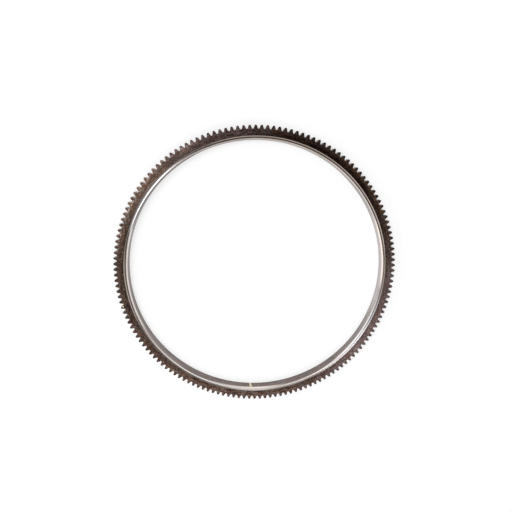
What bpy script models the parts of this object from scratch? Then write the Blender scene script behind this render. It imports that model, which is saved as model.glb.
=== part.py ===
"""Flywheel ring gear: one steel ring with 155 straight involute teeth on its rim.

The ring lies on its plain back face. Its axis is +Z, the origin is at the
centre of the back face, and one tooth is centred on +X.
Lengths are in metres and angles in radians.
"""

import math

import bmesh
import bpy
from mathutils import Matrix, Vector

# Teeth, with a little backlash for the starter pinion
TOOTH_COUNT = 155
MODULE = 0.0021167
PRESSURE_ANGLE = math.radians(20.0)
ADDENDUM_IN_MODULES = 1.0
DEDENDUM_IN_MODULES = 1.157
BACKLASH_IN_MODULES = 0.04
END_CHAMFER_IN_MODULES = 0.22
FACE_WIDTH = 0.0125

# Rim, from the floor of the tooth gaps in to the bore
RIM_WALL = 0.0107
BACK_EDGE_CHAMFER = 0.0005

# Turned seat round the front of the bore, from the bore outwards
BORE_CHAMFER = 0.0013
LAND_WIDTH = 0.0012
LAND_DEPTH = 0.0010
LAND_WALL_WIDTH = 0.0014

# Facets
FLANK_STEPS = 2
ROOT_STEPS = 2
WELD_DISTANCE = 0.000001
SHARP_ANGLE = math.radians(15.0)

# Worked out from the values above
PITCH_ANGLE = 2 * math.pi / TOOTH_COUNT
PITCH_RADIUS = MODULE * TOOTH_COUNT / 2
BASE_RADIUS = PITCH_RADIUS * math.cos(PRESSURE_ANGLE)
TIP_RADIUS = PITCH_RADIUS + ADDENDUM_IN_MODULES * MODULE
ROOT_RADIUS = PITCH_RADIUS - DEDENDUM_IN_MODULES * MODULE
TOOTH_END_CHAMFER = END_CHAMFER_IN_MODULES * MODULE
BACKLASH_ANGLE = BACKLASH_IN_MODULES * MODULE / PITCH_RADIUS
BORE_RADIUS = ROOT_RADIUS - RIM_WALL
LAND_INNER_RADIUS = BORE_RADIUS + BORE_CHAMFER
LAND_OUTER_RADIUS = LAND_INNER_RADIUS + LAND_WIDTH
SEAT_RADIUS = LAND_OUTER_RADIUS + LAND_WALL_WIDTH
LAND_HEIGHT = FACE_WIDTH - LAND_DEPTH

FORGED = 0
TURNED = 1


def involute(angle):
    """Return the involute function of a pressure angle."""
    return math.tan(angle) - angle


# Half of the angle that one tooth fills on the base circle
BASE_HALF_ANGLE = (PITCH_ANGLE / 2 - BACKLASH_ANGLE) / 2 + involute(PRESSURE_ANGLE)


def clear_scene():
    """Remove every object that the scene starts with."""
    for item in list(bpy.data.objects):
        bpy.data.objects.remove(item)


def steel(name, colour, metallic, roughness):
    """Return a plain steel material."""
    material = bpy.data.materials.new(name)
    material.use_nodes = True
    shader = material.node_tree.nodes["Principled BSDF"]
    shader.inputs["Base Color"].default_value = (*colour, 1.0)
    shader.inputs["Metallic"].default_value = metallic
    shader.inputs["Roughness"].default_value = roughness
    return material


def polar(radius, angle):
    """Return a flat point at a radius and an angle from +X."""
    return Vector((radius * math.cos(angle), radius * math.sin(angle)))


def gap_floor_angle():
    """Return the involute angle at the centre of the round floor of a gap.

    The floor is one arc that touches the root circle in the middle of the gap
    and runs into both flanks. Its centre moves out along the gap as this angle
    grows, so the angle is found by halving.
    """
    low = 0.0
    high = math.pi / 3
    for _ in range(60):
        angle = (low + high) / 2
        arc_radius = BASE_RADIUS * (involute(angle) - BASE_HALF_ANGLE + PITCH_ANGLE / 2)
        if BASE_RADIUS / math.cos(angle) - arc_radius < ROOT_RADIUS:
            low = angle
        else:
            high = angle
    return angle


def flank_point(roll, inset):
    """Return the point of the tooth's flank at a roll length along its line of action.

    The inset moves the flank into the tooth, where it stays an involute of the
    same base circle.
    """
    unrolled = roll / BASE_RADIUS
    angle = BASE_HALF_ANGLE - inset / BASE_RADIUS - (unrolled - math.atan(unrolled))
    return polar(math.hypot(BASE_RADIUS, roll), angle)


def half_tooth(inset):
    """Return the outline from a tooth's tip corner down to the middle of the next gap."""
    angle = gap_floor_angle()
    floor_centre_radius = BASE_RADIUS / math.cos(angle)
    floor_radius = floor_centre_radius - ROOT_RADIUS + inset
    tip_roll = math.sqrt((TIP_RADIUS - inset) ** 2 - BASE_RADIUS ** 2)
    floor_roll = BASE_RADIUS * math.tan(angle) - floor_radius

    points = []
    for step in range(FLANK_STEPS + 1):
        roll = tip_roll + (floor_roll - tip_roll) * step / FLANK_STEPS
        points.append(flank_point(roll, inset))

    floor_centre = polar(floor_centre_radius, PITCH_ANGLE / 2)
    to_flank = points[-1] - floor_centre
    to_middle = -floor_centre
    sweep = to_flank.angle_signed(to_middle)
    for step in range(1, ROOT_STEPS + 1):
        turn = Matrix.Rotation(-sweep * step / ROOT_STEPS, 2)
        points.append(floor_centre + turn @ to_flank)
    return points


def tooth_rail(inset, height):
    """Return one pitch of the toothed outline at a height, from gap to gap."""
    left = half_tooth(inset)
    right = [Vector((x, -y)) for x, y in reversed(left)]
    return [Vector((x, y, height)) for x, y in right + left]


def round_rail(radius, height):
    """Return one pitch of a circle at a height, as one facet."""
    ends = [polar(radius, -PITCH_ANGLE / 2), polar(radius, PITCH_ANGLE / 2)]
    return [Vector((x, y, height)) for x, y in ends]


def ring_rails():
    """Return the rails round the ring's section, each with the finish of the strip after it."""
    return [
        (round_rail(BORE_RADIUS + BACK_EDGE_CHAMFER, 0.0), TURNED),
        (round_rail(BORE_RADIUS, BACK_EDGE_CHAMFER), TURNED),
        (round_rail(BORE_RADIUS, LAND_HEIGHT - BORE_CHAMFER), TURNED),
        (round_rail(LAND_INNER_RADIUS, LAND_HEIGHT), TURNED),
        (round_rail(LAND_OUTER_RADIUS, LAND_HEIGHT), TURNED),
        (round_rail(SEAT_RADIUS, FACE_WIDTH), FORGED),
        (tooth_rail(TOOTH_END_CHAMFER, FACE_WIDTH), FORGED),
        (tooth_rail(0.0, FACE_WIDTH - TOOTH_END_CHAMFER), FORGED),
        (tooth_rail(0.0, 0.0), FORGED),
    ]


def skin_one_pitch(bm):
    """Skin one tooth's share of the ring, strip by strip round its section."""
    rails = []
    for points, finish in ring_rails():
        rails.append(([bm.verts.new(point) for point in points], finish))
    for index, (rail, finish) in enumerate(rails):
        after = rails[(index + 1) % len(rails)][0]
        if len(rail) == len(after):
            corners = [
                (rail[i], rail[i + 1], after[i + 1], after[i]) for i in range(len(rail) - 1)
            ]
        else:
            corners = [rail + after[::-1]]
        for loop in corners:
            bm.faces.new(loop).material_index = finish


def pattern_round_axis(bm):
    """Repeat the one pitch round the ring and weld the seams."""
    first = bm.verts[:] + bm.edges[:] + bm.faces[:]
    for tooth in range(1, TOOTH_COUNT):
        copy = bmesh.ops.duplicate(bm, geom=first)["geom"]
        verts = [item for item in copy if isinstance(item, bmesh.types.BMVert)]
        turn = Matrix.Rotation(PITCH_ANGLE * tooth, 3, "Z")
        bmesh.ops.rotate(bm, cent=(0.0, 0.0, 0.0), matrix=turn, verts=verts)
    bmesh.ops.remove_doubles(bm, verts=bm.verts[:], dist=WELD_DISTANCE)
    bmesh.ops.recalc_face_normals(bm, faces=bm.faces[:])


def build_ring_gear():
    """Model the ring gear as one solid."""
    bm = bmesh.new()
    skin_one_pitch(bm)
    pattern_round_axis(bm)
    mesh = bpy.data.meshes.new("ring_gear")
    bm.to_mesh(mesh)
    bm.free()
    mesh.materials.append(steel("forged_steel", (0.070, 0.048, 0.036), 0.45, 0.60))
    mesh.materials.append(steel("turned_steel", (0.560, 0.520, 0.500), 1.00, 0.30))
    mesh.shade_smooth()
    mesh.set_sharp_from_angle(angle=SHARP_ANGLE)
    ring = bpy.data.objects.new("ring_gear", mesh)
    bpy.context.collection.objects.link(ring)
    return ring


clear_scene()
build_ring_gear()
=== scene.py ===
import math
from collections import namedtuple

import bpy
import numpy as np
from mathutils import Euler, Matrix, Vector


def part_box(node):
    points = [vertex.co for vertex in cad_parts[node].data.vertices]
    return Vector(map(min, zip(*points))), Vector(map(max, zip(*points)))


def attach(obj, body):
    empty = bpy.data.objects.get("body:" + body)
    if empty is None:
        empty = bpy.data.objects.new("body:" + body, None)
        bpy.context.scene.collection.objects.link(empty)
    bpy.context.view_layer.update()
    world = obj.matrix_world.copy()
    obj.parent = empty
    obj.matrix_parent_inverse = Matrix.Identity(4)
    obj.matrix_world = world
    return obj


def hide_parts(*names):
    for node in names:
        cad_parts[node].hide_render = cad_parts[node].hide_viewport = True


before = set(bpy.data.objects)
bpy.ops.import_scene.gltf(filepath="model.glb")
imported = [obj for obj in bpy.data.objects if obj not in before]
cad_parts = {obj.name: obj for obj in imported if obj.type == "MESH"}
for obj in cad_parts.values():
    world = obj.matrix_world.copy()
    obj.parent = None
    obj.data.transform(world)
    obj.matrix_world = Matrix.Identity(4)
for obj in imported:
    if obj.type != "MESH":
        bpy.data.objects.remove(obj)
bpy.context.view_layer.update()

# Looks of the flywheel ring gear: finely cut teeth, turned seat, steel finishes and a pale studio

LOW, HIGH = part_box("ring_gear")

# Teeth, in metres: a hair fuller than the solid's, as they look in the photograph
TOOTH_COUNT = 155
MODULE = 2 * HIGH.x / (TOOTH_COUNT + 2)
PRESSURE_ANGLE = math.radians(20.0)
TIP_EXTRA = 0.0002
DEDENDUM_IN_MODULES = 0.87
BACKLASH_IN_MODULES = -0.16
TOOTH_END_CHAMFER = 0.00035
TOOTH_END_CHAMFER_DEPTH = 0.00015
TIP_ROUNDING = 0.00008

# Near the tip, the roll length grows about this many times as fast as the radius
ROLL_PER_RADIUS = 3.0

# The end chamfer bulges a little: shares of its width and depth at the bulge
BULGE_INSET_SHARE = 0.45
BULGE_DROP_SHARE = 0.35

# The rest of the ring's section, in metres
FACE_WIDTH = HIGH.z - LOW.z
BORE_RADIUS = 0.150895
BACK_EDGE_CHAMFER = 0.0002
EDGE_BREAK = 0.00012
BORE_CHAMFER = 0.0013
BORE_CHAMFER_DEPTH = 0.0013
LAND_WIDTH = 0.0012
LAND_DEPTH = 0.0010
LAND_WALL_WIDTH = 0.0014

# Worked out from the values above
PITCH_ANGLE = 2 * math.pi / TOOTH_COUNT
PITCH_RADIUS = MODULE * TOOTH_COUNT / 2
BASE_RADIUS = PITCH_RADIUS * math.cos(PRESSURE_ANGLE)
TIP_RADIUS = HIGH.x + TIP_EXTRA
ROOT_RADIUS = PITCH_RADIUS - DEDENDUM_IN_MODULES * MODULE
BACKLASH = BACKLASH_IN_MODULES * MODULE
LAND_INNER_RADIUS = BORE_RADIUS + BORE_CHAMFER
LAND_OUTER_RADIUS = LAND_INNER_RADIUS + LAND_WIDTH
SEAT_RADIUS = LAND_OUTER_RADIUS + LAND_WALL_WIDTH
LAND_HEIGHT = FACE_WIDTH - LAND_DEPTH
BAND_RADIUS = (SEAT_RADIUS + ROOT_RADIUS) / 2

# Finishes of the ring's strips, in the order of its material slots
FORGED, EDGE, WALL, LAND, CHAMFER, BORE = range(6)

# Points of the fine outline, for half a tooth
TIP_STEPS = 2
FLANK_STEPS = 6
ROOT_STEPS = 4
SHARP_ANGLE = math.radians(15.0)

# Radii on the forged skin, in metres, between which its lighter teeth, painted shade and painted
# highlights fade
BAND_TO_TEETH = (0.1570, 0.1615)
INNER_SHADE = (0.1560, 0.1590)
LIT_BAND = (0.1555, 0.1575)
SHADE_FADE = (0.1572, 0.1630)

# Thin painted lines round the ring, in metres: highlight, sheen and shade; a radius, and the half widths
# between which the line fades
GAP_LIP_RADIUS = 0.1618
GAP_LIP_LINE = (0.0003, 0.0010)
SHEEN_LINE_RADIUS = 0.1620
SHEEN_LINE = (0.0008, 0.0026)
SHADE_LINE_WIDTHS = (0.0002, 0.0008)

# How far the painted shade and highlights along an edge reach from it, in metres
SEAT_SHADE_WIDTH = 0.0007
FLANK_HIGHLIGHT_DEPTH = 0.0003
RIM_SHADE_HEIGHTS = (0.0004, 0.0020)

# Pale steel of the painted highlights at the upper left, on the skin and on its edges
HIGHLIGHT_STEEL = (0.600, 0.490, 0.440)

# The camera that took the photograph, from the middle of the front face
CAMERA_FROM_FACE = Vector((-0.02385, 0.11737, 0.46552))
CAMERA_TURNS = Euler((math.radians(-12.022), math.radians(-2.851), math.radians(0.300)))
CAMERA_LENS_MM = 28.54
CAMERA_SENSOR_MM = 36.0
IMAGE_SIZE = 512
CAMERA_SHIFT = 0.5 / IMAGE_SIZE

# The stripe of paint across the bore, which leans a little and widens towards the front
PAINT_BACK_DEG = 267.42
PAINT_FRONT_DEG = 267.6
PAINT_WIDTH = 0.0032
PAINT_THICKNESS = 0.00004
PAINT_MARGIN = 0.0001
PAINT_BACK_SHARE = 0.72
PAINT_WIDENING = 0.2
PAINT_UNEVENNESS = 0.05
PAINT_ROWS = 15
PAINT_COLUMNS = (-1.0, -0.92, -0.3, 0.3, 0.92, 1.0)

# The paint's colours: the heights they change between, and the pale core's middle and half widths
PAINT_PALE_HEIGHT = 0.001
PAINT_DEEP_HEIGHT = 0.010
PAINT_CORE_DEG = (-92.60, -92.40)
PAINT_CORE_HALF_DEG = (0.22, 0.55)

# Seed of the uneven outlines of the paint, the chip and the nick
RANDOM_SEED = 7

# The chip on a tooth and the nick on the seat: each size is a length, a width and a rise, in metres
CHIP_RADIUS = 0.1638
CHIP_DEG = 194.75
CHIP_TURN_DEG = 15.0
CHIP_SIZE = (0.0042, 0.0020, 0.00016)
NICK_DEG = 64.8
NICK_SIZE = (0.0016, 0.0006, 0.0004)
DAB_POINTS = 14
DAB_UNEVENNESS = 0.14

# The studio: lengths in metres, greys and glows where 1 is white, heights in the sky as sines
FLOOR_SIZE = 6.0
FLOOR_GREY = 0.8
FLOOR_SEEN_GREY = 0.50
FLOOR_SEEN_GLOW = 0.65
WORLD_LEVEL = 0.19
HORIZON_GLOW = 0.7
HORIZON_HEIGHTS = (0.05, 0.22)
LAMP_DISTANCE = 2.0

# Soft lamps, the key high on the upper left: name, azimuth, elevation and half width in degrees, glow
LAMPS = (
    ("key_lamp", 150, 63, 11, 6.1),
    ("left_lamp", 160, 35, 17, 0.7),
    ("top_lamp", 180, 77, 8, 1.6),
    ("near_lamp", 270, 63, 18, 1.35),
    ("right_lamp", 300, 49, 8, 1.5),
    ("far_lamp", 80, 35, 17, 0.48),
    ("wide_fill", 120, 35, 35, 0.15),
    ("low_left_fill", 165, 12, 28, 0.28),
    ("low_left_lamp", 204, 18, 14, 0.45),
    ("low_near_fill", 217, 10, 30, 0.56),
    ("low_near_lamp", 262, 26, 22, 0.29),
    ("low_right_lamp", 350, 35, 13, 0.36),
    ("low_far_lamp", 28, 23, 13, 0.14),
    ("low_right_fill", 352, 8, 25, 0.64),
    ("right_face_lamp", 315, 63, 10, 0.9),
    ("left_wall_lamp", 190, 41, 10, 0.30),
    ("small_far_lamp", 87, 30, 6, 0.30),
    ("small_high_lamp", 87, 49, 6, 0.22),
)

# Where a point of the ring is, as sockets: whole, in parts, from the axis, and in degrees from +X
Place = namedtuple("Place", "point x y height radius angle")


def involute(angle):
    """Return the involute function of a pressure angle."""
    return math.tan(angle) - angle


# Half of the angle that one tooth fills on the base circle
BASE_HALF_ANGLE = PITCH_ANGLE / 4 - BACKLASH / (2 * PITCH_RADIUS) + involute(PRESSURE_ANGLE)


def polar(radius, angle):
    """Return a flat point at a radius and an angle from +X."""
    return np.array((radius * math.cos(angle), radius * math.sin(angle)))


def gap_floor_angle():
    """Return the involute angle at the centre of the round floor of a tooth gap, found by halving."""
    low = 0.0
    high = math.pi / 3
    for _ in range(60):
        angle = (low + high) / 2
        arc_radius = BASE_RADIUS * (involute(angle) - BASE_HALF_ANGLE + PITCH_ANGLE / 2)
        if BASE_RADIUS / math.cos(angle) - arc_radius < ROOT_RADIUS:
            low = angle
        else:
            high = angle
    return angle


def flank_point(roll, inset):
    """Return the point of a tooth's flank at a roll length along its line of action."""
    unrolled = roll / BASE_RADIUS
    angle = BASE_HALF_ANGLE - inset / BASE_RADIUS - (unrolled - math.atan(unrolled))
    return polar(math.hypot(BASE_RADIUS, roll), angle)


def rounded_corner(tip_radius, inset):
    """Return the points that round a tooth's tip corner, and the flank point where they end."""
    corner_roll = math.sqrt(tip_radius ** 2 - BASE_RADIUS ** 2)
    rounding_roll = TIP_ROUNDING * BASE_RADIUS / tip_radius * ROLL_PER_RADIUS
    corner = flank_point(corner_roll, inset)
    below = flank_point(corner_roll - rounding_roll, inset)
    beside = polar(tip_radius, math.atan2(corner[1], corner[0]) - TIP_ROUNDING / tip_radius)
    points = []
    for step in range(TIP_STEPS):
        share = step / TIP_STEPS
        on_tip = beside + (corner - beside) * share
        on_flank = corner + (below - corner) * share
        points.append(on_tip + (on_flank - on_tip) * share)
    return points, below


def half_tooth(inset):
    """Return the outline from the middle of a tooth's tip to the middle of the next gap."""
    angle = gap_floor_angle()
    floor_centre_radius = BASE_RADIUS / math.cos(angle)
    floor_radius = floor_centre_radius - ROOT_RADIUS + inset
    tip_radius = TIP_RADIUS - inset
    floor_roll = BASE_RADIUS * math.tan(angle) - floor_radius

    corner_points, below = rounded_corner(tip_radius, inset)
    points = [polar(tip_radius, 0.0)] + corner_points
    start_roll = math.sqrt(np.dot(below, below) - BASE_RADIUS ** 2)
    for step in range(FLANK_STEPS + 1):
        roll = start_roll + (floor_roll - start_roll) * step / FLANK_STEPS
        points.append(flank_point(roll, inset))

    floor_centre = polar(floor_centre_radius, PITCH_ANGLE / 2)
    arm = points[-1] - floor_centre
    start = math.atan2(arm[1], arm[0])
    middle = PITCH_ANGLE / 2 + math.pi
    sweep = (middle - start + math.pi) % (2 * math.pi) - math.pi
    for step in range(1, ROOT_STEPS + 1):
        points.append(floor_centre + polar(floor_radius, start + sweep * step / ROOT_STEPS))
    return np.array(points)


def tooth_outline(inset):
    """Return the closed toothed outline as flat points, starting in the middle of a gap."""
    left = half_tooth(inset)
    right = left[:0:-1] * (1, -1)
    pitch = np.concatenate((right, left[:-1]))
    turns = np.arange(TOOTH_COUNT) * PITCH_ANGLE
    cos, sin = np.cos(turns)[:, None], np.sin(turns)[:, None]
    x = pitch[:, 0] * cos - pitch[:, 1] * sin
    y = pitch[:, 0] * sin + pitch[:, 1] * cos
    return np.stack((x.ravel(), y.ravel()), -1)


def ring_rails():
    """Return the rails round the ring's section: flat points, a height and the next strip's finish."""
    outer = tooth_outline(0.0)
    angles = np.arctan2(outer[:, 1], outer[:, 0])
    unit = np.stack((np.cos(angles), np.sin(angles)), -1)

    def circle(radius, height, finish):
        return unit * radius, height, finish

    def toothed(inset, height, finish):
        return tooth_outline(inset), height, finish

    top = FACE_WIDTH
    chamfer_foot = LAND_HEIGHT - BORE_CHAMFER_DEPTH
    bulge_height = top - TOOTH_END_CHAMFER_DEPTH * BULGE_DROP_SHARE
    return [
        circle(BORE_RADIUS + BACK_EDGE_CHAMFER, 0.0, EDGE),
        circle(BORE_RADIUS, BACK_EDGE_CHAMFER, BORE),
        circle(BORE_RADIUS, chamfer_foot, CHAMFER),
        circle(BORE_RADIUS + EDGE_BREAK, chamfer_foot + EDGE_BREAK, CHAMFER),
        circle(LAND_INNER_RADIUS - EDGE_BREAK, LAND_HEIGHT - EDGE_BREAK, CHAMFER),
        circle(LAND_INNER_RADIUS, LAND_HEIGHT, LAND),
        circle(LAND_OUTER_RADIUS, LAND_HEIGHT, WALL),
        circle(SEAT_RADIUS, top, FORGED),
        circle(BAND_RADIUS, top, FORGED),
        toothed(TOOTH_END_CHAMFER, top, EDGE),
        toothed(TOOTH_END_CHAMFER * BULGE_INSET_SHARE, bulge_height, EDGE),
        toothed(0.0, top - TOOTH_END_CHAMFER_DEPTH, FORGED),
        toothed(0.0, FACE_WIDTH / 2, FORGED),
        toothed(0.0, EDGE_BREAK, EDGE),
        toothed(EDGE_BREAK, 0.0, FORGED),
        circle(BAND_RADIUS, 0.0, FORGED),
    ]


def skin(name, rails):
    """Skin closed rails of equal length into one closed mesh object."""
    count = len(rails[0][0])
    points = []
    for flat, height, _ in rails:
        points.append(np.column_stack((flat, np.full(count, height))))
    columns = np.arange(count)
    after = np.roll(columns, -1)
    faces = []
    finishes = []
    for index, (_, _, finish) in enumerate(rails):
        low = index * count
        high = (index + 1) % len(rails) * count
        faces.append(np.stack((low + columns, high + columns, high + after, low + after), -1))
        finishes.append(np.full(count, finish))
    mesh = bpy.data.meshes.new(name)
    mesh.from_pydata(np.concatenate(points).tolist(), [], np.concatenate(faces).tolist())
    mesh.polygons.foreach_set("material_index", np.concatenate(finishes).astype(np.int32))
    mesh.shade_smooth()
    mesh.set_sharp_from_angle(angle=SHARP_ANGLE)
    piece = bpy.data.objects.new(name, mesh)
    bpy.context.collection.objects.link(piece)
    return piece


def new_material(name):
    """Return a material, its node tree and its shader."""
    material = bpy.data.materials.new(name)
    material.use_nodes = True
    tree = material.node_tree
    return material, tree, tree.nodes["Principled BSDF"]


def fill(tree, node, inputs):
    """Set or link a node's inputs by name or number."""
    for key, value in inputs.items():
        if isinstance(value, bpy.types.NodeSocket):
            tree.links.new(value, node.inputs[key])
        else:
            node.inputs[key].default_value = value


def add(tree, kind, inputs=None, **settings):
    """Add a node with its settings and its inputs."""
    node = tree.nodes.new(kind)
    for key, value in settings.items():
        setattr(node, key, value)
    fill(tree, node, inputs or {})
    return node


def maths(tree, operation, first, second):
    """Return the result of one step of maths on two values."""
    return add(tree, "ShaderNodeMath", {0: first, 1: second}, operation=operation).outputs[0]


def product(tree, first, second):
    """Return the product of two values."""
    return maths(tree, "MULTIPLY", first, second)


def larger(tree, first, second):
    """Return the larger of two values."""
    return maths(tree, "MAXIMUM", first, second)


def noise(tree, vector, scale, detail=2.0, roughness=0.5):
    """Return the grey value of a noise texture."""
    inputs = {"Vector": vector, "Scale": scale, "Detail": detail, "Roughness": roughness}
    return add(tree, "ShaderNodeTexNoise", inputs).outputs["Fac"]


def ramp(tree, value, *stops):
    """Return the colour of a ramp through (place, colour) stops."""
    node = add(tree, "ShaderNodeValToRGB", {"Fac": value})
    elements = node.color_ramp.elements
    while len(elements) < len(stops):
        elements.new(0.5)
    for element, (stop, colour) in zip(elements, stops):
        element.position = stop
        element.color = (*colour, 1.0)
    return node.outputs["Color"]


def mix(tree, factor, first, second, blend="MIX"):
    """Return a blend of two colours or grey values."""
    inputs = {0: factor}
    for key, value in ((6, first), (7, second)):
        inputs[key] = (*value, 1.0) if isinstance(value, tuple) else value
    return add(tree, "ShaderNodeMix", inputs, data_type="RGBA", blend_type=blend).outputs[2]


def span(tree, value, low, high, to_low=0.0, to_high=1.0):
    """Return a value mapped from one range to another and held inside it."""
    inputs = {"Value": value, "From Min": low, "From Max": high, "To Min": to_low, "To Max": to_high}
    return add(tree, "ShaderNodeMapRange", inputs).outputs["Result"]


def arc(tree, value, middle, inner, outer):
    """Return 1 near a middle angle or radius, fading out between two half widths."""
    off = maths(tree, "SUBTRACT", value, middle)
    away = add(tree, "ShaderNodeMath", {0: off}, operation="ABSOLUTE").outputs[0]
    return span(tree, away, inner, outer, 1.0, 0.0)


def arcs(tree, angle, *parts):
    """Return the strongest of several arcs, each a middle, two half widths and a strength."""
    total = None
    for middle, inner, outer, strength in parts:
        value = product(tree, arc(tree, angle, middle, inner, outer), strength)
        total = value if total is None else larger(tree, total, value)
    return total


def place(tree):
    """Return where a point of the ring is."""
    point = add(tree, "ShaderNodeTexCoord").outputs["Object"]
    parts = add(tree, "ShaderNodeSeparateXYZ", {"Vector": point}).outputs
    flat = add(tree, "ShaderNodeCombineXYZ", {"X": parts["X"], "Y": parts["Y"]}).outputs[0]
    radius = add(tree, "ShaderNodeVectorMath", {0: flat}, operation="LENGTH").outputs["Value"]
    turn = maths(tree, "ARCTAN2", parts["Y"], parts["X"])
    angle = span(tree, turn, -math.pi, math.pi, -180.0, 180.0)
    return Place(point, parts["X"], parts["Y"], parts["Z"], radius, angle)


def turned_vector(tree, spot, along, across):
    """Return coordinates that are long round the ring and fine across it."""
    up_and_out = maths(tree, "ADD", spot.height, spot.radius)
    inputs = {
        "X": product(tree, spot.x, along),
        "Y": product(tree, spot.y, along),
        "Z": product(tree, up_and_out, across),
    }
    return add(tree, "ShaderNodeCombineXYZ", inputs).outputs[0]


def tinted(tree, colour, point, scale, low, high):
    """Return a colour whose hue and strength wander a little over the surface."""
    hue = span(tree, noise(tree, point, scale * 1.3, 2.0, 0.6), 0.3, 0.7, 0.475, 0.525)
    strength = span(tree, noise(tree, point, scale, 3.0, 0.6), 0.35, 0.65, low, high)
    inputs = {"Hue": hue, "Saturation": strength, "Color": colour}
    return add(tree, "ShaderNodeHueSaturation", inputs).outputs["Color"]


def round_tangent(tree, shader):
    """Point the shader's anisotropy round the ring, as turning leaves it."""
    tangent = add(tree, "ShaderNodeTangent", direction_type="RADIAL", axis="Z").outputs["Tangent"]
    fill(tree, shader, {"Tangent": tangent, "Anisotropic Rotation": 0.25})


def bump(tree, shader, height, strength, distance):
    """Add a bump of a real height, in metres, to the shader."""
    inputs = {"Height": height, "Strength": strength, "Distance": distance}
    fill(tree, shader, {"Normal": add(tree, "ShaderNodeBump", inputs).outputs["Normal"]})


def over_teeth(tree, spot):
    """Return 0 on the band beside the seat, rising to 1 on the teeth."""
    return span(tree, spot.radius, *BAND_TO_TEETH)


def mottled_brown(tree, spot, value):
    """Return the forged skin's brown, with painted light: lighter on the teeth and on one arc, and a
    cooler painted sheen on two arcs.
    """
    stops = (0.43, 0.50, 0.57)
    band_browns = ((0.018, 0.011, 0.008), (0.064, 0.043, 0.035), (0.180, 0.130, 0.106))
    teeth_browns = ((0.032, 0.020, 0.016), (0.104, 0.068, 0.055), (0.250, 0.180, 0.148))
    band = ramp(tree, value, *zip(stops, band_browns))
    teeth = ramp(tree, value, *zip(stops, teeth_browns))
    # Painted highlight: the teeth and one arc take the lighter browns
    lit_arc = arc(tree, spot.angle, -22.0, 18.0, 38.0)
    colour = mix(tree, larger(tree, over_teeth(tree, spot), lit_arc), band, teeth)
    colour = mix(tree, product(tree, lit_arc, 0.10), colour, (0.420, 0.310, 0.260))
    # Painted sheen: two arcs turn cooler and a little paler
    grey = arcs(tree, spot.angle, (-28.0, 26.0, 42.0, 1.0), (112.0, 18.0, 30.0, 0.8))
    return mix(tree, grey, colour, (1.00, 1.06, 1.20), "MULTIPLY")


def shaded(tree, spot, colour):
    """Lay darker arcs over a colour: three whole ones, one beside the seat and one on the teeth."""
    angle = spot.angle
    whole = ((107.0, 4.0, 12.0, 0.35), (140.0, 13.0, 25.0, 0.42), (-62.0, 8.0, 20.0, 0.35))
    inner = span(tree, spot.radius, *INNER_SHADE, 0.35, 0.0)
    inner = product(tree, arc(tree, angle, 2.0, 14.0, 30.0), inner)
    outer = product(tree, over_teeth(tree, spot), 0.25)
    outer = product(tree, arc(tree, angle, -80.0, 10.0, 24.0), outer)
    shade = larger(tree, arcs(tree, angle, *whole), larger(tree, inner, outer))
    return mix(tree, shade, colour, (0.026, 0.018, 0.014))


def lit_upper_left(tree, spot, blotches, colour):
    """Lay painted highlights over a colour at the upper left: on the teeth, by the seat, on gap lips and
    flanks.
    """
    angle, radius = spot.angle, spot.radius
    teeth = product(tree, arc(tree, angle, 157.0, 6.0, 16.0), over_teeth(tree, spot))
    teeth = product(tree, teeth, span(tree, blotches, 0.46, 0.58, 0.0, 0.30))
    band = span(tree, radius, *LIT_BAND, 0.22, 0.0)
    band = product(tree, arc(tree, angle, 143.0, 6.0, 14.0), band)
    colour = mix(tree, larger(tree, teeth, band), colour, (0.330, 0.250, 0.205))
    lip = arc(tree, radius, GAP_LIP_RADIUS, *GAP_LIP_LINE)
    lip = product(tree, arc(tree, angle, 155.0, 10.0, 20.0), lip)
    lip = product(tree, lip, span(tree, blotches, 0.46, 0.58, 0.0, 0.60))
    colour = mix(tree, lip, colour, HIGHLIGHT_STEEL)
    flank = span(tree, spot.height, FACE_WIDTH - FLANK_HIGHLIGHT_DEPTH, FACE_WIDTH, 1.0, 0.0)
    flank = product(tree, flank, arc(tree, angle, 150.0, 12.0, 26.0))
    flank = product(tree, flank, span(tree, blotches, 0.46, 0.58, 0.35, 0.85))
    return mix(tree, flank, colour, HIGHLIGHT_STEEL)


def shade_and_sheen_upper_right(tree, spot, blotches, colour):
    """Lay painted shade over a colour at the upper right, and a golden painted sheen at its edge."""
    angle, radius = spot.angle, spot.radius
    painted_shade = span(tree, radius, *SHADE_FADE, 1.0, 0.35)
    painted_shade = product(tree, arc(tree, angle, 56.0, 16.0, 42.0), painted_shade)
    painted_shade = product(tree, painted_shade, span(tree, blotches, 0.45, 0.57, 0.99, 0.72))
    colour = mix(tree, painted_shade, colour, (0.010, 0.0045, 0.0022))
    painted_sheen = arc(tree, radius, SHEEN_LINE_RADIUS, *SHEEN_LINE)
    painted_sheen = product(tree, arc(tree, angle, 36.0, 14.0, 24.0), painted_sheen)
    painted_sheen = product(tree, painted_sheen, span(tree, blotches, 0.46, 0.60, 0.05, 0.45))
    return mix(tree, painted_sheen, colour, (0.290, 0.168, 0.088))


def shaded_seat_edge(tree, spot, colour):
    """Lay painted shade along the seat's edge: faint at the upper left, wide at the lower right."""
    line = span(tree, spot.radius, SEAT_RADIUS, SEAT_RADIUS + SEAT_SHADE_WIDTH, 0.60, 0.0)
    faint = arc(tree, spot.angle, 144.0, 12.0, 22.0)
    line = product(tree, line, span(tree, faint, 0.0, 1.0, 1.0, 0.3))
    wide = span(tree, spot.radius, SEAT_RADIUS, SEAT_RADIUS + 2 * SEAT_SHADE_WIDTH, 0.85, 0.0)
    wide = product(tree, arc(tree, spot.angle, -38.0, 14.0, 24.0), wide)
    return mix(tree, larger(tree, line, wide), colour, (0.016, 0.009, 0.006))


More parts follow.
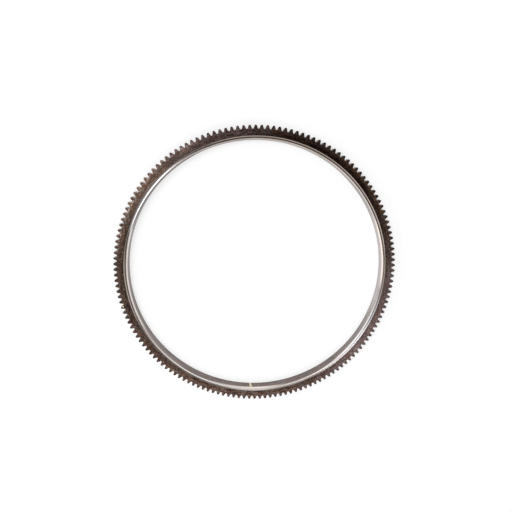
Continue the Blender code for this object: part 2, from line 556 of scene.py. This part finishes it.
def forged_skin():
    """Dark brown forged skin: mottled, with painted shade on one arc and painted highlights on another,
    and a little rusty.
    """
    material, tree, shader = new_material("forged_skin")
    spot = place(tree)
    blotches = noise(tree, spot.point, 540.0, 4.0, 0.7)
    grain = noise(tree, spot.point, 1050.0, 3.0, 0.6)
    streaks = noise(tree, turned_vector(tree, spot, 110.0, 700.0), 1.0, 3.0, 0.6)
    lines = noise(tree, turned_vector(tree, spot, 60.0, 1400.0), 1.0, 3.0, 0.6)
    value = mix(tree, 0.30, mix(tree, 0.45, blotches, grain), streaks)
    colour = mottled_brown(tree, spot, value)
    colour = shaded(tree, spot, colour)
    colour = lit_upper_left(tree, spot, blotches, colour)
    colour = shade_and_sheen_upper_right(tree, spot, blotches, colour)
    colour = shaded_seat_edge(tree, spot, colour)
    rust = span(tree, noise(tree, spot.point, 420.0, 4.0, 0.7), 0.58, 0.72, 0.0, 0.8)
    colour = mix(tree, rust, colour, (0.150, 0.064, 0.040))
    fill(tree, shader, {
        "Base Color": tinted(tree, colour, spot.point, 520.0, 0.6, 1.6),
        "Metallic": 0.95,
        "Anisotropic": 0.2,
        "Roughness": span(tree, value, 0.3, 0.7, 0.38, 0.30),
    })
    round_tangent(tree, shader)
    bump(tree, shader, mix(tree, 0.5, grain, lines), 0.35, 0.00012)
    return material


def dark_edge():
    """Near-black brown on the broken edges, a painted shade, with a painted highlight at the upper left.
    """
    material, tree, shader = new_material("dark_edge")
    spot = place(tree)
    mottle = noise(tree, spot.point, 600.0, 3.0, 0.6)
    colour = ramp(tree, mottle, (0.35, (0.016, 0.011, 0.009)), (0.65, (0.050, 0.034, 0.027)))
    # Painted highlight: the edges turn pale at the upper left
    bare = product(tree, arc(tree, spot.angle, 151.0, 12.0, 24.0), 0.40)
    fill(tree, shader, {
        "Base Color": mix(tree, bare, colour, HIGHLIGHT_STEEL),
        "Metallic": 0.9,
        "Roughness": span(tree, noise(tree, spot.point, 900.0), 0.3, 0.7, 0.50, 0.38),
    })
    return material


def turned_steel(name, colours, roughness, bright, shade_arcs, shade_line_arcs, shade_line_radius):
    """Turned steel between two colours, with fine lines, painted highlights and painted shade on arcs,
    and a line of painted shade.
    """
    material, tree, shader = new_material(name)
    spot = place(tree)
    lines = noise(tree, turned_vector(tree, spot, 25.0, 5200.0), 1.0, 2.0, 0.5)
    stain = noise(tree, spot.point, 130.0, 3.0, 0.6)
    dark, light = colours
    colour = ramp(tree, mix(tree, 0.5, lines, stain), (0.30, dark), (0.70, light))
    # Painted highlights on the bright arcs and painted shade on the dull ones
    colour = mix(tree, arcs(tree, spot.angle, *bright), colour, (0.93, 0.905, 0.895))
    colour = mix(tree, arcs(tree, spot.angle, *shade_arcs), colour, (0.200, 0.188, 0.182))
    warm = arc(tree, spot.angle, 54.0, 40.0, 62.0)
    colour = mix(tree, warm, colour, (1.01, 0.968, 0.932), "MULTIPLY")
    # Painted reflection: the glare at the lower right turns cooler
    cool = arc(tree, spot.angle, -32.0, 14.0, 24.0)
    colour = mix(tree, cool, colour, (0.95, 0.99, 1.04), "MULTIPLY")
    # Painted shade: a dark line at one radius, on some arcs
    shade_line = arc(tree, spot.radius, shade_line_radius, *SHADE_LINE_WIDTHS)
    shade_line = product(tree, arcs(tree, spot.angle, *shade_line_arcs), shade_line)
    fill(tree, shader, {
        "Base Color": mix(tree, shade_line, colour, (0.062, 0.041, 0.030)),
        "Metallic": 1.0,
        "Anisotropic": 0.2,
        "Roughness": span(tree, stain, 0.3, 0.7, *roughness),
    })
    round_tangent(tree, shader)
    bump(tree, shader, lines, 0.05, 0.00001)
    return material


def seat_finishes():
    """Return the finishes of the seat's wall, land and chamfer, with their painted highlights and painted
    shade.
    """
    # Painted shade along the corner of the wall and the land
    corner_shade = (
        (46.0, 70.0, 80.0, 0.80), (-40.0, 7.0, 14.0, 0.5),
        (178.0, 14.0, 18.0, 0.85), (-170.0, 14.0, 24.0, 0.85),
    )
    wall = turned_steel(
        "turned_wall", ((0.62, 0.530, 0.475), (0.84, 0.745, 0.685)), (0.165, 0.180),
        bright=(
            (-96.0, 18.0, 34.0, 0.75), (-42.0, 10.0, 24.0, 0.5),
            (-27.0, 10.0, 20.0, 0.8), (146.0, 12.0, 22.0, 0.9),
        ),
        shade_arcs=((-50.0, 9.0, 18.0, 0.55),),
        shade_line_arcs=corner_shade, shade_line_radius=LAND_OUTER_RADIUS,
    )
    land = turned_steel(
        "turned_land", ((0.39, 0.335, 0.305), (0.57, 0.505, 0.470)), (0.15, 0.20),
        bright=((147.0, 10.0, 23.0, 0.8), (-120.0, 6.0, 26.0, 0.30), (-48.0, 10.0, 26.0, 0.12)),
        shade_arcs=((113.0, 9.0, 18.0, 0.65),),
        shade_line_arcs=corner_shade, shade_line_radius=LAND_OUTER_RADIUS,
    )
    chamfer = turned_steel(
        "turned_chamfer", ((0.78, 0.690, 0.640), (0.95, 0.870, 0.825)), (0.15, 0.20),
        bright=(
            (147.0, 10.0, 23.0, 0.8), (-120.0, 6.0, 26.0, 0.30),
            (-44.0, 10.0, 26.0, 0.45), (32.0, 6.0, 18.0, 0.8),
        ),
        shade_arcs=((90.0, 10.0, 20.0, 0.1),),
        shade_line_arcs=(
            (136.0, 14.0, 26.0, 1.5), (66.0, 36.0, 50.0, 0.40),
            (-46.0, 26.0, 36.0, 0.6), (-108.0, 3.0, 8.0, 0.5),
        ),
        shade_line_radius=BORE_RADIUS,
    )
    return wall, land, chamfer


def slanting_scratches(tree, spot):
    """Return the grey value of fine scratches that slant across the bore."""
    round_ring = product(tree, spot.angle, 1.1)
    across = product(tree, spot.height, 320.0)
    inputs = {"X": maths(tree, "ADD", round_ring, across), "Y": spot.height}
    slanted = add(tree, "ShaderNodeCombineXYZ", inputs).outputs[0]
    return noise(tree, slanted, 1.0, 2.0, 0.5)


def ground_bore():
    """Grey ground bore with faint stains, a painted highlight and painted shade on arcs, and painted
    shade along its back rim.
    """
    material, tree, shader = new_material("ground_bore")
    spot = place(tree)
    lines = noise(tree, turned_vector(tree, spot, 22.0, 2600.0), 1.0, 3.0, 0.6)
    lines = mix(tree, 0.35, lines, slanting_scratches(tree, spot))
    stain = noise(tree, spot.point, 70.0, 3.0, 0.6)
    specks = noise(tree, spot.point, 700.0, 3.0, 0.65)
    value = mix(tree, 0.35, mix(tree, 0.40, lines, specks), stain)
    colour = ramp(tree, value, (0.38, (0.116, 0.094, 0.086)), (0.62, (0.282, 0.236, 0.222)))
    brown = span(tree, noise(tree, spot.point, 90.0, 4.0, 0.6), 0.60, 0.74, 0.0, 0.5)
    colour = mix(tree, brown, colour, (0.250, 0.170, 0.135))
    colour = tinted(tree, colour, spot.point, 420.0, 0.6, 2.4)
    # Painted highlight: paler on arcs at the right
    highlight_arcs = arcs(tree, spot.angle, (4.0, 18.0, 36.0, 0.9), (-28.0, 2.0, 24.0, 0.30))
    colour = mix(tree, highlight_arcs, colour, (0.60, 0.545, 0.535))
    # Painted shade: darker on two arcs
    shade_arcs = arcs(tree, spot.angle, (142.0, 20.0, 32.0, 0.75), (66.0, 36.0, 50.0, 0.4))
    colour = mix(tree, shade_arcs, colour, (0.125, 0.083, 0.062))
    # Painted shade along the back rim
    rim_shade = span(tree, spot.height, *RIM_SHADE_HEIGHTS, 0.8, 0.0)
    fill(tree, shader, {
        "Base Color": mix(tree, rim_shade, colour, (0.060, 0.048, 0.044)),
        "Metallic": 0.4,
        "Anisotropic": 0.5,
        "Roughness": span(tree, stain, 0.3, 0.7, 0.15, 0.20),
    })
    round_tangent(tree, shader)
    bump(tree, shader, lines, 0.05, 0.00001)
    return material


def marking_paint():
    """Yellow marking paint, paler in the middle and towards the back of the bore, thin in spots."""
    material, tree, shader = new_material("marking_paint")
    spot = place(tree)
    forward = span(tree, spot.height, PAINT_PALE_HEIGHT, PAINT_DEEP_HEIGHT)
    middle = span(tree, spot.height, 0.0, PAINT_DEEP_HEIGHT, *PAINT_CORE_DEG)
    core = arc(tree, spot.angle, middle, *PAINT_CORE_HALF_DEG)
    pale = mix(tree, forward, (0.97, 0.94, 0.78), (1.00, 0.90, 0.38))
    colour = mix(tree, core, (0.92, 0.78, 0.24), pale)
    thin = span(tree, noise(tree, spot.point, 900.0, 3.0, 0.6), 0.56, 0.74, 0.0, 0.30)
    fill(tree, shader, {
        "Base Color": mix(tree, thin, colour, (0.66, 0.57, 0.24)),
        "Roughness": span(tree, thin, 0.0, 0.6, 0.45, 0.65),
        "Metallic": 0.35,
        "Coat Weight": 1.0,
        "Coat Roughness": 0.15,
        "Coat IOR": 1.9,
    })
    return material


def fleck(name, dark, light):
    """Bright bare metal of a small mark, blotched between two colours."""
    material, tree, shader = new_material(name)
    point = add(tree, "ShaderNodeTexCoord").outputs["Object"]
    value = noise(tree, point, 1400.0, 3.0, 0.6)
    fill(tree, shader, {
        "Base Color": ramp(tree, value, (0.38, dark), (0.60, light)),
        "Roughness": span(tree, value, 0.3, 0.7, 0.6, 0.4),
    })
    return material


def build_ring():
    """Build the finely cut ring that stands for the CAD solid."""
    ring = skin("toothed_ring", ring_rails())
    for material in (forged_skin(), dark_edge(), *seat_finishes(), ground_bore()):
        ring.data.materials.append(material)
    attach(ring, "root")
    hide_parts("ring_gear")


def add_piece(name, points, faces, material):
    """Make a small closed piece that rides on the ring."""
    mesh = bpy.data.meshes.new(name)
    mesh.from_pydata([tuple(point) for point in points], [], faces)
    mesh.materials.append(material)
    mesh.shade_smooth()
    piece = bpy.data.objects.new(name, mesh)
    bpy.context.collection.objects.link(piece)
    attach(piece, "root")


def paint_sheet(radius, sink, edges):
    """Return the points of one sheet of the paint stripe, row by row, its border set back by a sink."""
    bottom = BACK_EDGE_CHAMFER + PAINT_MARGIN
    top = LAND_HEIGHT - BORE_CHAMFER_DEPTH - PAINT_MARGIN
    half = PAINT_WIDTH / 2 / BORE_RADIUS
    points = []
    for row in range(PAINT_ROWS):
        up = row / (PAINT_ROWS - 1)
        middle = math.radians(PAINT_BACK_DEG + (PAINT_FRONT_DEG - PAINT_BACK_DEG) * up)
        share = PAINT_BACK_SHARE + PAINT_WIDENING * up
        for column, across in enumerate(PAINT_COLUMNS):
            reach = across * edges[row, int(across > 0)] * share
            border = row in (0, PAINT_ROWS - 1) or column in (0, len(PAINT_COLUMNS) - 1)
            flat = polar(radius + (sink if border else 0.0), middle + half * reach)
            points.append((flat[0], flat[1], bottom + (top - bottom) * up))
    return points


def build_paint_mark(rng):
    """Build the stripe of marking paint across the bore wall, as two sheets closed by a rim."""
    rows = PAINT_ROWS
    columns = len(PAINT_COLUMNS)
    edges = 1 + PAINT_UNEVENNESS * rng.standard_normal((rows, 2))
    points = paint_sheet(BORE_RADIUS - PAINT_THICKNESS, PAINT_THICKNESS * 2, edges)
    points += paint_sheet(BORE_RADIUS + PAINT_THICKNESS, 0.0, edges)
    back = rows * columns
    faces = []
    for row in range(rows - 1):
        for column in range(columns - 1):
            corner = row * columns + column
            front = (corner, corner + columns, corner + columns + 1, corner + 1)
            faces.append(front)
            faces.append(tuple(back + index for index in front[::-1]))
    rim = list(range(columns))
    rim += [row * columns + columns - 1 for row in range(1, rows)]
    rim += [(rows - 1) * columns + column for column in range(columns - 2, -1, -1)]
    rim += [row * columns for row in range(rows - 2, 0, -1)]
    for start, end in zip(rim, rim[1:] + rim[:1]):
        faces.append((start, end, back + end, back + start))
    add_piece("paint_mark", points, faces, marking_paint())


def build_dab(name, radius, degrees, height, size, turn, rng, material):
    """Build a small flat dab of uneven outline that lies on an upward face."""
    length, width, rise = size
    reach = 1 + DAB_UNEVENNESS * rng.standard_normal(DAB_POINTS)
    centre = polar(radius, math.radians(degrees))
    along = math.radians(degrees + 90 + turn)
    layers = ((1.0, -0.5), (0.9, 0.5), (0.5, 0.9))
    points = []
    for share, lift in layers:
        for index in range(DAB_POINTS):
            round_dab = 2 * math.pi * index / DAB_POINTS
            local = polar(share * reach[index] / 2, round_dab) * (length, width)
            x = centre[0] + local[0] * math.cos(along) - local[1] * math.sin(along)
            y = centre[1] + local[0] * math.sin(along) + local[1] * math.cos(along)
            points.append((x, y, height + rise * lift))
    faces = [tuple(range(DAB_POINTS))[::-1], tuple(range(2 * DAB_POINTS, 3 * DAB_POINTS))]
    for layer in range(len(layers) - 1):
        low = layer * DAB_POINTS
        for index in range(DAB_POINTS):
            after = (index + 1) % DAB_POINTS
            faces.append((low + index, low + after, low + DAB_POINTS + after, low + DAB_POINTS + index))
    add_piece(name, points, faces, material)


def build_marks():
    """Add the paint mark, the chip on a tooth and the bright nick on the seat."""
    rng = np.random.default_rng(RANDOM_SEED)
    build_paint_mark(rng)
    chip = fleck("chip_colour", (0.62, 0.34, 0.17), (0.95, 0.76, 0.54))
    build_dab("tooth_chip", CHIP_RADIUS, CHIP_DEG, FACE_WIDTH, CHIP_SIZE, CHIP_TURN_DEG, rng, chip)
    bright = fleck("nick_colour", (0.62, 0.56, 0.50), (0.95, 0.91, 0.86))
    wall_radius = SEAT_RADIUS - LAND_WALL_WIDTH / 2
    wall_height = FACE_WIDTH - LAND_DEPTH * 0.5
    build_dab("seat_nick", wall_radius, NICK_DEG, wall_height, NICK_SIZE, 0.0, rng, bright)


def floor_white():
    """Matt white floor that still looks white to the camera and in mirrors."""
    material, tree, shader = new_material("floor_white")
    path = add(tree, "ShaderNodeLightPath").outputs
    seen = larger(tree, path["Is Camera Ray"], path["Is Glossy Ray"])
    seen = larger(tree, seen, path["Is Transmission Ray"])
    fill(tree, shader, {
        "Base Color": mix(tree, seen, (FLOOR_GREY,) * 3, (FLOOR_SEEN_GREY,) * 3),
        "Roughness": 0.9,
        "Specular IOR Level": 0.0,
        "Emission Color": (1.0, 1.0, 1.0, 1.0),
        "Emission Strength": span(tree, seen, 0.0, 1.0, 0.0, FLOOR_SEEN_GLOW),
    })
    return material


def build_floor():
    """Build the plain floor that the ring lies on."""
    half = FLOOR_SIZE / 2
    corners = [(-half, -half, LOW.z), (half, -half, LOW.z), (half, half, LOW.z), (-half, half, LOW.z)]
    mesh = bpy.data.meshes.new("floor")
    mesh.from_pydata(corners, [], [(0, 1, 2, 3)])
    mesh.materials.append(floor_white())
    floor = bpy.data.objects.new("floor", mesh)
    bpy.context.collection.objects.link(floor)


def build_world():
    """Light the studio evenly; the backdrop is white to the eye, and low down in the steel too."""
    world = bpy.data.worlds.new("studio")
    world.use_nodes = True
    tree = world.node_tree
    path = add(tree, "ShaderNodeLightPath").outputs
    direction = add(tree, "ShaderNodeTexCoord").outputs["Generated"]
    height = add(tree, "ShaderNodeSeparateXYZ", {"Vector": direction}).outputs["Z"]
    low = span(tree, height, *HORIZON_HEIGHTS, HORIZON_GLOW, WORLD_LEVEL)
    mirrored = larger(tree, path["Is Glossy Ray"], path["Is Transmission Ray"])
    level = add(tree, "ShaderNodeMix", {0: mirrored, 2: WORLD_LEVEL, 3: low}).outputs[0]
    level = add(tree, "ShaderNodeMix", {0: path["Is Camera Ray"], 2: level, 3: 1.0}).outputs[0]
    fill(tree, tree.nodes["Background"], {"Color": (1.0, 1.0, 1.0, 1.0), "Strength": level})
    bpy.context.scene.world = world


def build_lamp(name, azimuth, elevation, half_width, glow):
    """Add a round soft lamp, as wide as it looks from the ring, that faces the ring."""
    data = bpy.data.lights.new(name, "AREA")
    data.shape = "DISK"
    data.size = 2 * LAMP_DISTANCE * math.tan(math.radians(half_width))
    data.energy = glow * math.pi * math.pi * data.size ** 2 / 4
    lamp = bpy.data.objects.new(name, data)
    bpy.context.collection.objects.link(lamp)
    around = math.radians(azimuth)
    up = math.radians(elevation)
    away = Vector((math.cos(around) * math.cos(up), math.sin(around) * math.cos(up), math.sin(up)))
    lamp.location = away * LAMP_DISTANCE
    lamp.rotation_mode = "QUATERNION"
    lamp.rotation_quaternion = away.to_track_quat("Z", "Y")


def build_camera():
    """Place the camera where the photograph was taken from."""
    data = bpy.data.cameras.new("camera")
    data.lens = CAMERA_LENS_MM
    data.sensor_width = CAMERA_SENSOR_MM
    data.shift_x = -CAMERA_SHIFT
    data.shift_y = CAMERA_SHIFT
    camera = bpy.data.objects.new("camera", data)
    bpy.context.collection.objects.link(camera)
    camera.location = Vector((0.0, 0.0, FACE_WIDTH)) + CAMERA_FROM_FACE
    camera.rotation_euler = CAMERA_TURNS
    bpy.context.scene.camera = camera


build_ring()
build_marks()
build_floor()
build_world()
for lamp_values in LAMPS:
    build_lamp(*lamp_values)
build_camera()
bpy.context.scene.view_settings.view_transform = "Standard"
